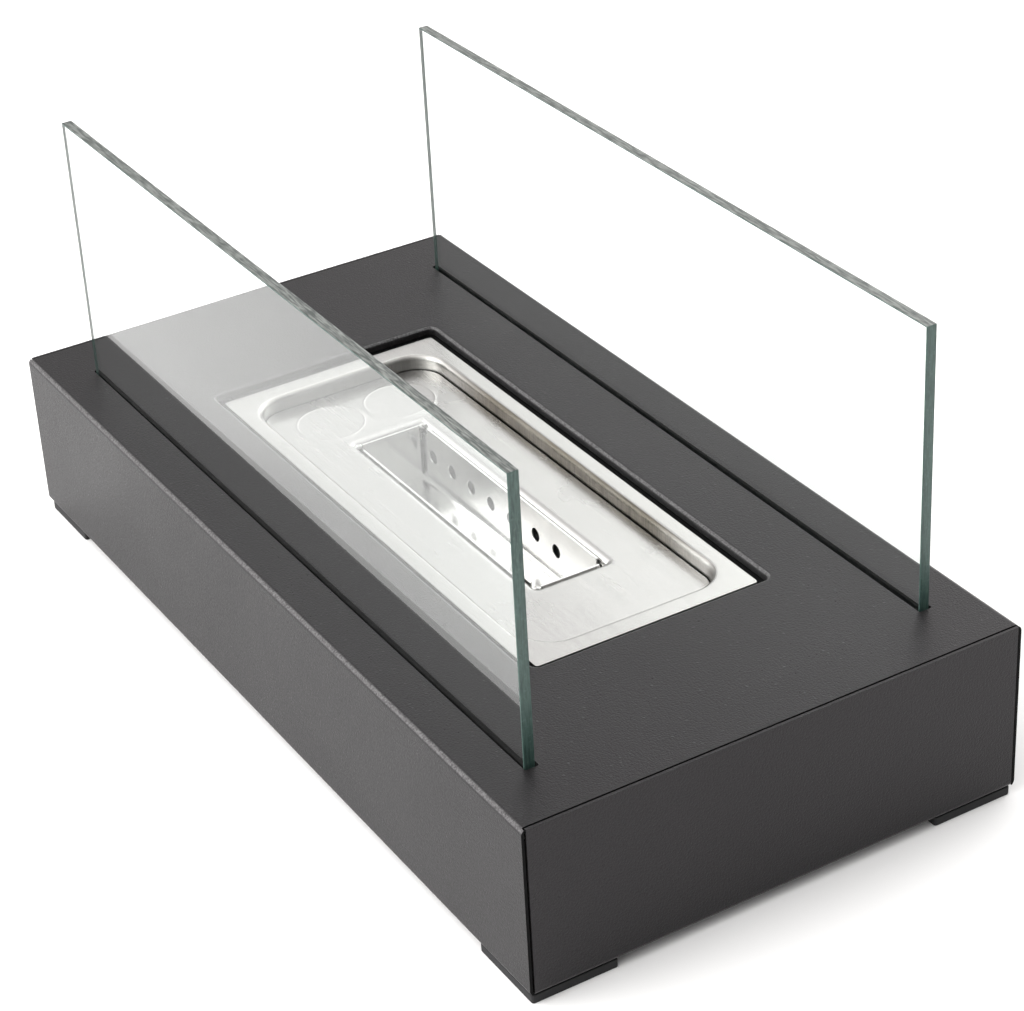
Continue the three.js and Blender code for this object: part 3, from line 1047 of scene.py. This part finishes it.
def makeTank(size):
    bm = bmesh.new()
    (halfX, halfY), (corner, steps), margin = size["recess"], size["recessCorner"], size["margin"]
    top, shoulder, floor, ledge = size["top"], size["ledgeLevel"], size["floor"], size["ledge"]
    face = roundedFace(bm, halfX + margin, halfY + margin, corner + margin, steps, top)
    insetBy(bm, face, margin)
    face = sinkBy(bm, face, top - shoulder)
    insetBy(bm, face, ledge)
    sinkBy(bm, face, shoulder - floor)

    def outside(spot):
        # true on the ledge's outer line, false on its inner line
        x, y, innerX, innerY = abs(spot.x), abs(spot.y), halfX - corner, halfY - corner
        rounded = Vector((x - innerX, y - innerY)).length > corner - ledge / 2
        return (
            x > halfX - ledge / 2 or y > halfY - ledge / 2
            or (x > innerX and y > innerY and rounded))

    roundOff(bm, foldsAt(bm, floor), *size["floorRoll"])
    for outer, roll in ((False, size["ledgeRoll"]), (True, size["crease"])):
        folds = foldEdges(bm, lambda spot: same(spot.z, shoulder) and outside(spot) == outer)
        roundOff(bm, folds, *roll)
    roundOff(bm, foldsAt(bm, top), *size["rimRoll"])
    dropFaces(bm, [roundedFace(bm, *size["rim"], *size["rimCorner"], top)], keepOutline=True)
    fillLevel(bm, top)
    faceUp(bm, top)
    return bm


finishPiece(
    "fuelTank", makeTank(tank), tank, [drawnSteel], "burner", ["fuel_tank"])
print("fuel tank drawn")


# Cover plate with its rolled opening and two plain raised rings

cover = {
    "half": (95.6, 34.2),
    "corner": (10.9, 12),
    "top": 56,
    "opening": (58.6, 13.4),
    "openingCorner": (0.6, 8),
    "margin": 3.6,
    "lipRoll": (2.6, 5),
    "lipDepth": 3.0,
    "ringCentre": (-77, 13.4),
    "ringRadius": 12.8,
    "ringSlope": 0.6,
    "ringFlat": 0.4,
    "ringRise": 0.22,
    "ringSteps": 56,
    "sheet": 1.0,
    "arris": 0.22,
    "sharp": 50,
}


def raiseRing(bm, size, hand):
    # pressed ring line: up one slope, along its flat, down the other
    x, y = size["ringCentre"]
    place = Matrix.Translation((x, hand * y, size["top"]))
    made = bmesh.ops.create_circle(
        bm, cap_ends=True, segments=size["ringSteps"], radius=size["ringRadius"],
        matrix=place)["verts"]
    disc = made[0].link_faces[0]
    slope, rise = size["ringSlope"], size["ringRise"]
    for width, lift in ((slope, rise), (size["ringFlat"], 0), (slope, -rise)):
        insetBy(bm, disc, width)
        shift(bm, disc.verts[:], (0, 0, lift))


def makeCover(size):
    bm = bmesh.new()
    (length, width), (corner, steps) = size["opening"], size["openingCorner"]
    margin, top = size["margin"], size["top"]
    lip = roundedFace(bm, length + margin, width + margin, corner + margin, steps, top)
    insetBy(bm, lip, margin)
    dropFaces(bm, [sinkBy(bm, lip, size["lipDepth"])])
    roundOff(bm, foldsAt(bm, top), *size["lipRoll"])
    dropFaces(bm, [roundedFace(bm, *size["half"], *size["corner"], top)], keepOutline=True)
    for hand in (-1, 1):
        raiseRing(bm, size, hand)
    fillLevel(bm, top)
    faceUp(bm, top)
    return bm


finishPiece(
    "coverPlate", makeCover(cover), cover, [satinSteel],
    "burner_cover", ["cover_plate"])
print("cover plate pressed")


# Perforated flame trough

trough = {
    "halfRun": 58.2,
    "wall": 12.3,
    "endWall": 57.4,
    "top": 55.4,
    "floor": 35,
    "bend": (2.6, 5),
    "split": 40,
    "holeRadius": 2.5,
    "holePitch": 13.2,
    "holes": 7,
    "holeSteps": 28,
    "firstHole": -50.5,
    "holeLevel": 45.3,
    "seam": 1.1,
    "relief": (4.0, 3.2),
    "sheet": 0.8,
    "arris": 0.12,
    "sharp": 50,
}


def makeTrough(size):
    run, wall, low = size["halfRun"], size["wall"], size["floor"]
    split, top = size["split"], size["top"]
    section = [(0, -wall, split), (0, -wall, low), (0, wall, low), (0, wall, split)]
    bm = foldedSheet(section, (run, 0, 0), size["bend"])
    height = (top - split) / 2
    for hand in (-1, 1):
        # the upper strip of a long wall, filled round its holes
        known = set(bm.edges)
        upright = Matrix.Translation((0, hand * wall, 0)) @ Matrix.Rotation(rightAngle, 4, "X")
        made = placeSheet(bm, run, height)
        shift(bm, made, (0, split + height, 0))
        bmesh.ops.transform(bm, matrix=upright, verts=made)
        dropFaces(bm, [made[0].link_faces[0]], keepOutline=True)
        for step in range(size["holes"]):
            x = size["firstHole"] + step * size["holePitch"]
            bmesh.ops.create_circle(
                bm, cap_ends=False, segments=size["holeSteps"], radius=size["holeRadius"],
                matrix=upright @ Matrix.Translation((x, size["holeLevel"], 0)))
        loops = [edge for edge in bm.edges if edge not in known]
        fillLoops(bm, loops, (0, -hand, 0))
    # relief cut at the upper corners of the long walls
    length, depth = size["relief"]
    start, level = run - length, top - depth
    for hand in (-1, 1):
        sliceAt(bm, (hand * start, 0, 0), (1, 0, 0))
    sliceAt(bm, (0, 0, level), (0, 0, 1))
    cutAway(bm, lambda spot: abs(spot.x) > start and spot.z > level)
    flatUp(bm)
    addTroughEnds(bm, size)
    return bm


def addTroughEnds(bm, size):
    height = (size["top"] - size["floor"]) / 2
    for sign in (-1, 1):
        made = placeSheet(bm, height, size["wall"] - size["seam"])
        bmesh.ops.transform(bm, matrix=Matrix.Rotation(rightAngle, 4, "Y"), verts=made)
        shift(bm, made, (sign * size["endWall"], 0, size["floor"] + height))
        face = made[0].link_faces[0]
        face.normal_update()
        if face.normal.x * sign > 0:
            face.normal_flip()


finishPiece(
    "flameTrough", makeTrough(trough), trough, [polishedSteel],
    "burner_cover", ["flame_trough"])
print("flame trough folded")


# Tack welds that hold three of the trough's corners to the plate

tackWeld = {
    "place": (57.9, 12.9),
    "level": 55.0,
    "half": (1.1, 1.4, 0.8),
    "corners": ((-1, -1), (-1, 1), (1, -1)),
    "fineness": 4,
    "ripple": 0.24,
    "rippleScale": 2.3,
    "sharp": 80,
}


def makeTackWelds(size):
    bm = bmesh.new()
    x, y = size["place"]
    for signX, signY in size["corners"]:
        made = bmesh.ops.create_icosphere(bm, subdivisions=size["fineness"], radius=1.0)["verts"]
        for vert in made:
            spot = vert.co * size["rippleScale"] + Vector((signX, signY, 0))
            vert.co *= 1 + noise.noise(spot) * size["ripple"]
        bmesh.ops.scale(bm, vec=size["half"], verts=made)
        shift(bm, made, (signX * x, signY * y, size["level"]))
    return bm


finishPiece(
    "troughWelds", makeTackWelds(tackWeld), tackWeld, [satinSteel],
    "burner_cover", [])
print("trough tacked to the plate")


# Strips that hang the trough's ends from the plate

hanger = {
    "run": 7,
    "top": 54.6,
    "reach": 70.2,
    "riser": 62.2,
    "foot": 52.0,
    "inner": 58.6,
    "low": 46.0,
    "bend": (0.5, 4),
    "sheet": 0.8,
    "arris": 0.12,
    "side": 0,
}


def makeHanger(size, sign):
    top, riser, foot, inner = size["top"], size["riser"], size["foot"], size["inner"]
    reach, low = size["reach"], size["low"]
    section = [(reach, top), (riser, top), (riser, foot), (inner, foot), (inner, low)]
    bm = foldedSheet([(sign * x, 0, z) for x, z in section], (0, size["run"], 0), size["bend"])
    mergeAndAlign(bm)
    return bm


for end, sign in ends:
    finishPiece(
        "hangerStrip_" + end, makeHanger(hanger, sign), hanger, [satinSteel],
        "burner_cover", ["trough_hanger_" + end])
print("hanger strips folded")


# Ceramic wool beside the trough

wool = {
    "halfRun": 92.2,
    "sides": (14.0, 30.9),
    "levels": (26.6, 46.0),
    "edge": (3, 3),
    "corner": (4.5, 4),
    "slices": 30,
    "slicePitch": 3,
    "layers": 6,
    "tuft": 0.35,
    "lumps": ((0.11, 1.3), (0.45, 0.7)),
    "sink": 0.9,
    "sharp": 80,
}


def makeWoolPad(size, hand):
    bm = bmesh.new()
    (near, far), (low, high), layers = size["sides"], size["levels"], size["layers"]
    placeBlock(
        bm, (0, hand * (near + far) / 2, (low + high) / 2),
        (2 * size["halfRun"], far - near, high - low))
    uprights = [edge for edge in bm.edges if not same(edge.verts[0].co.z, edge.verts[1].co.z)]
    roundOff(bm, uprights, *size["corner"])
    roundOff(bm, foldEdges(bm), *size["edge"])
    for step in range(-size["slices"], size["slices"] + 1):
        sliceAt(bm, (step * size["slicePitch"], 0, 0), (1, 0, 0))
    for step in range(1, layers):
        sliceAt(bm, (0, hand * (near + step * (far - near) / layers), 0), (0, 1, 0))
        sliceAt(bm, (0, 0, low + step * (high - low) / layers), (0, 0, 1))
    bm.normal_update()
    for vert in bm.verts:
        lift = sum(noise.noise(vert.co * scale) * share for scale, share in size["lumps"])
        vert.co += vert.normal * size["tuft"] * (lift - size["sink"])
    alignFaces(bm)
    return bm


for row, hand in rows:
    pad = finishPiece(
        "woolPad_" + row, makeWoolPad(wool, hand), wool, [ceramicWool],
        "burner", ["wool_" + row])
print("wool laid in")


# Channels that hold the glass under the deck

channel = {
    "halfRun": 155,
    "edges": (58.7, 84.5),
    "webs": (68.7, 74.5),
    "top": 62.5,
    "floor": 40.0,
    "bend": (0.8, 4),
    "studPlaces": ((120, 63.2), (120, 80.0)),
    "studHole": 2.3,
    "studHoleSteps": 24,
    "sheet": 1.0,
    "arris": 0.15,
    "side": 0,
}


def makeChannel(size, sign):
    (inner, outer), (near, far) = size["edges"], size["webs"]
    top, low = size["top"], size["floor"]
    section = [(inner, top), (near, top), (near, low), (far, low), (far, top), (outer, top)]
    bm = foldedSheet([(0, sign * y, z) for y, z in section], (size["halfRun"], 0, 0), size["bend"])
    openLevel(bm, top)
    for x, y in size["studPlaces"]:
        for end in (-1, 1):
            bmesh.ops.create_circle(
                bm, cap_ends=False, segments=size["studHoleSteps"], radius=size["studHole"],
                matrix=Matrix.Translation((end * x, sign * y, top)))
    fillLevel(bm, top)
    faceOutwards(bm, lambda face: same(face.calc_center_median().z, low), (0, 0, -1))
    return bm


for row, sign in rows:
    finishPiece(
        "glassChannel_" + row, makeChannel(channel, sign), channel, [blackSteel],
        "housing", ["glass_channel_" + row])
print("glass channels folded")


# Threaded studs with their nuts

stud = {
    "places": ((-120, 63.2), (120, 63.2), (-120, 80.0), (120, 80.0)),
    "top": 63,
    "length": 5.6,
    "radius": 2.0,
    "turnSteps": 28,
    "threadPitch": 0.7,
    "threadDepth": 0.28,
    "threadStart": 0.2,
    "tipTaper": 0.5,
    "nutTop": 62,
    "nutHeight": 3.2,
    "nutWidth": 7,
    "nutEdge": (0.35, 3),
    "washerRadius": 3.5,
    "washerSteps": 32,
    "washerHeight": 0.35,
    "sharp": 40,
}


def makeStud(size, x, y):
    bm = bmesh.new()
    radius, pitch, taper = size["radius"], size["threadPitch"], size["tipTaper"]
    top, nutTop, washer = size["top"], size["nutTop"], size["washerHeight"]
    tip = top - size["length"]
    profile = [(0, top), (radius, top)]
    level = nutTop - size["nutHeight"] - size["threadStart"]
    while level > tip + taper + pitch / 2:
        profile += [(radius, level), (radius - size["threadDepth"], level - pitch / 2)]
        level -= pitch
    profile += [(radius, tip + taper), (radius - taper, tip), (0, tip)]
    verts = [bm.verts.new((reach, 0, z)) for reach, z in profile]
    edges = [bm.edges.new(pair) for pair in zip(verts, verts[1:])]
    bmesh.ops.spin(
        bm, geom=verts + edges, cent=(0, 0, 0), axis=(0, 0, 1), angle=math.tau,
        steps=size["turnSteps"], use_merge=True)
    mergeAndAlign(bm)

    nutRadius, height = size["nutWidth"] / math.sqrt(3), size["nutHeight"] - washer
    nut = bmesh.ops.create_cone(
        bm, cap_ends=True, segments=6, radius1=nutRadius, radius2=nutRadius, depth=height,
        matrix=Matrix.Translation((0, 0, nutTop - washer - height / 2)))["verts"]
    rims = {
        edge for vert in nut for edge in vert.link_edges
        if same(edge.verts[0].co.z, edge.verts[1].co.z)
    }
    roundOff(bm, list(rims), *size["nutEdge"])
    bmesh.ops.create_cone(
        bm, cap_ends=True, segments=size["washerSteps"], radius1=size["washerRadius"],
        radius2=size["washerRadius"], depth=washer,
        matrix=Matrix.Translation((0, 0, nutTop - washer / 2)))
    shift(bm, bm.verts[:], (x, y, 0))
    alignFaces(bm)
    return bm


for row, sign in rows:
    for number, (x, y) in enumerate(stud["places"], start=1):
        finishPiece(
            f"channelStud_{row}_{number}", makeStud(stud, x, sign * y), stud, [zincSteel],
            "housing", [f"channel_stud_{row}_{number}"])
print("channels screwed up")


# Silicone pads under the glass

glassPad = {
    "half": (20, 2.0),
    "levels": (40.5, 42.5),
    "middle": 71.6,
    "spot": 100,
    "corner": (0.6, 4),
    "edge": (0.3, 3),
    "sharp": 50,
}


def makePad(size, signX, signY):
    bm = bmesh.new()
    low, high = size["levels"]
    face = roundedFace(bm, *size["half"], *size["corner"], high)
    sinkBy(bm, face, high - low, keepFirst=True)
    alignFaces(bm)
    roundOff(bm, foldsAt(bm, high) + foldsAt(bm, low), *size["edge"])
    shift(bm, bm.verts[:], (signX * size["spot"], signY * size["middle"], 0))
    alignFaces(bm)
    return bm


for corner, signX, signY in corners:
    finishPiece(
        "siliconePad_" + corner, makePad(glassPad, signX, signY), glassPad, [siliconePad],
        "housing", ["glass_pad_" + corner])
print("pads laid under the glass")


# Seat rails that carry the tank's rim

seat = {
    "top": 62.5,
    "ledge": 60.0,
    "bend": (0.8, 4),
    "sides": {
        "long": {"reach": 58.1, "web": 46.6, "inner": 37.1, "halfRun": 121.6},
        "short": {"reach": 121.6, "web": 110.1, "inner": 98.5, "halfRun": 36.8},
    },
    "sheet": 1.0,
    "arris": 0.15,
    "side": 0,
}


def makeSeatRail(size, kind, sign):
    rail, top, ledge = size["sides"][kind], size["top"], size["ledge"]
    steps = [(rail["reach"], top), (rail["web"], top), (rail["web"], ledge), (rail["inner"], ledge)]
    # the step faces Y on the long sides and X on the short ones
    outward, along = ((0, sign), (1, 0)) if kind == "long" else ((sign, 0), (0, 1))
    section = [(outward[0] * across, outward[1] * across, level) for across, level in steps]
    run = rail["halfRun"]
    bm = foldedSheet(section, (along[0] * run, along[1] * run, 0), size["bend"])
    flatUp(bm)
    return bm


for kind, places in (("long", rows), ("short", ends)):
    for place, sign in places:
        finishPiece(
            "seatRail_" + place, makeSeatRail(seat, kind, sign), seat, [blackSteel],
            "housing", ["seat_rail_" + place])
print("seat rails folded")


# Angles inside the corners

bracket = {
    "corner": (173.5, 88.5),
    "leg": 13,
    "levels": (13, 59),
    "bend": (1.5, 6),
    "sheet": 1.0,
    "arris": 0.15,
    "side": 0,
}


def makeBracket(size, signX, signY):
    (x, y), leg, (low, high) = size["corner"], size["leg"], size["levels"]
    section = [(x - leg, y), (x, y), (x, y - leg)]
    bm = foldedSheet(
        [(signX * alongX, signY * alongY, (low + high) / 2) for alongX, alongY in section],
        (0, 0, (high - low) / 2), size["bend"])
    mergeAndAlign(bm)
    return bm


for corner, signX, signY in corners:
    finishPiece(
        "cornerAngle_" + corner, makeBracket(bracket, signX, signY), bracket, [blackSteel],
        "housing", ["corner_bracket_" + corner])
print("corner angles folded")


# Studio: pale floor, a dim surround with four soft panels in it, and one soft box on the left

studio = {
    "floorSize": 12.0,
    "floorTone": 0.96,
    "surround": 0.1,
    "panels": {  # azimuth, elevation, strength, tightness
        "frontLow": (252, 8, 5.6, 5.0),
        "behind": (108, 20, 3.4, 6.0),
        "overhead": (90, 78, 0.7, 4.0),
        "frontHigh": (250, 48, 2.4, 5.0),
    },
    "surroundColour": (1.0, 0.99, 0.98),
    "boxPlace": (-1.15, -0.2, 1.25),
    "boxSize": 1.1,
    "boxPower": 0.1,
}


def placeFloor(size):
    bm, half = bmesh.new(), size["floorSize"] / 2
    placeSheet(bm, half, half)
    paper, tree, shader = startMaterial("paleFloor")
    tone = tinted((size["floorTone"],) * 3)
    feed(tree, shader, {"Base Color": tone, "Roughness": 1.0, "Specular IOR Level": 0.0})
    floor = placeObject("studioFloor", bm, [paper])


def lightSurround(size):
    # a dim even sky, to which each panel adds a soft bright patch
    world = bpy.data.worlds.new("studioSurround")
    world.use_nodes = True
    scene.world = world
    sky = world.node_tree
    background = sky.nodes["Background"]
    direction = placeNode(sky, "TexCoord", {}).outputs["Generated"]
    strength = size["surround"]
    for azimuth, elevation, peak, tightness in size["panels"].values():
        turn, tilt = math.radians(azimuth), math.radians(elevation)
        centre = (math.cos(turn) * math.cos(tilt), math.sin(turn) * math.cos(tilt), math.sin(tilt))
        towards = placeNode(
            sky, "VectorMath", {0: direction, 1: centre}, operation="DOT_PRODUCT").outputs["Value"]
        fade = multiply(sky, calculate(sky, "SUBTRACT", towards, 1.0), tightness)
        strength = scaleAdd(sky, calculate(sky, "EXPONENT", fade), peak, strength)
    feed(sky, background.inputs, {"Strength": strength, "Color": tinted(size["surroundColour"])})


def hangSoftBox(size):
    lamp = bpy.data.lights.new("softBox", "AREA")
    lamp.shape = "SQUARE"
    lamp.size = size["boxSize"]
    lamp.energy = size["boxPower"]
    softBox = bpy.data.objects.new("softBox", lamp)
    place = Vector(size["boxPlace"])
    softBox.location = place
    softBox.rotation_euler = (-place).to_track_quat("-Z", "Y").to_euler()
    scene.collection.objects.link(softBox)


placeFloor(studio)
lightSurround(studio)
hangSoftBox(studio)
print("studio lit")
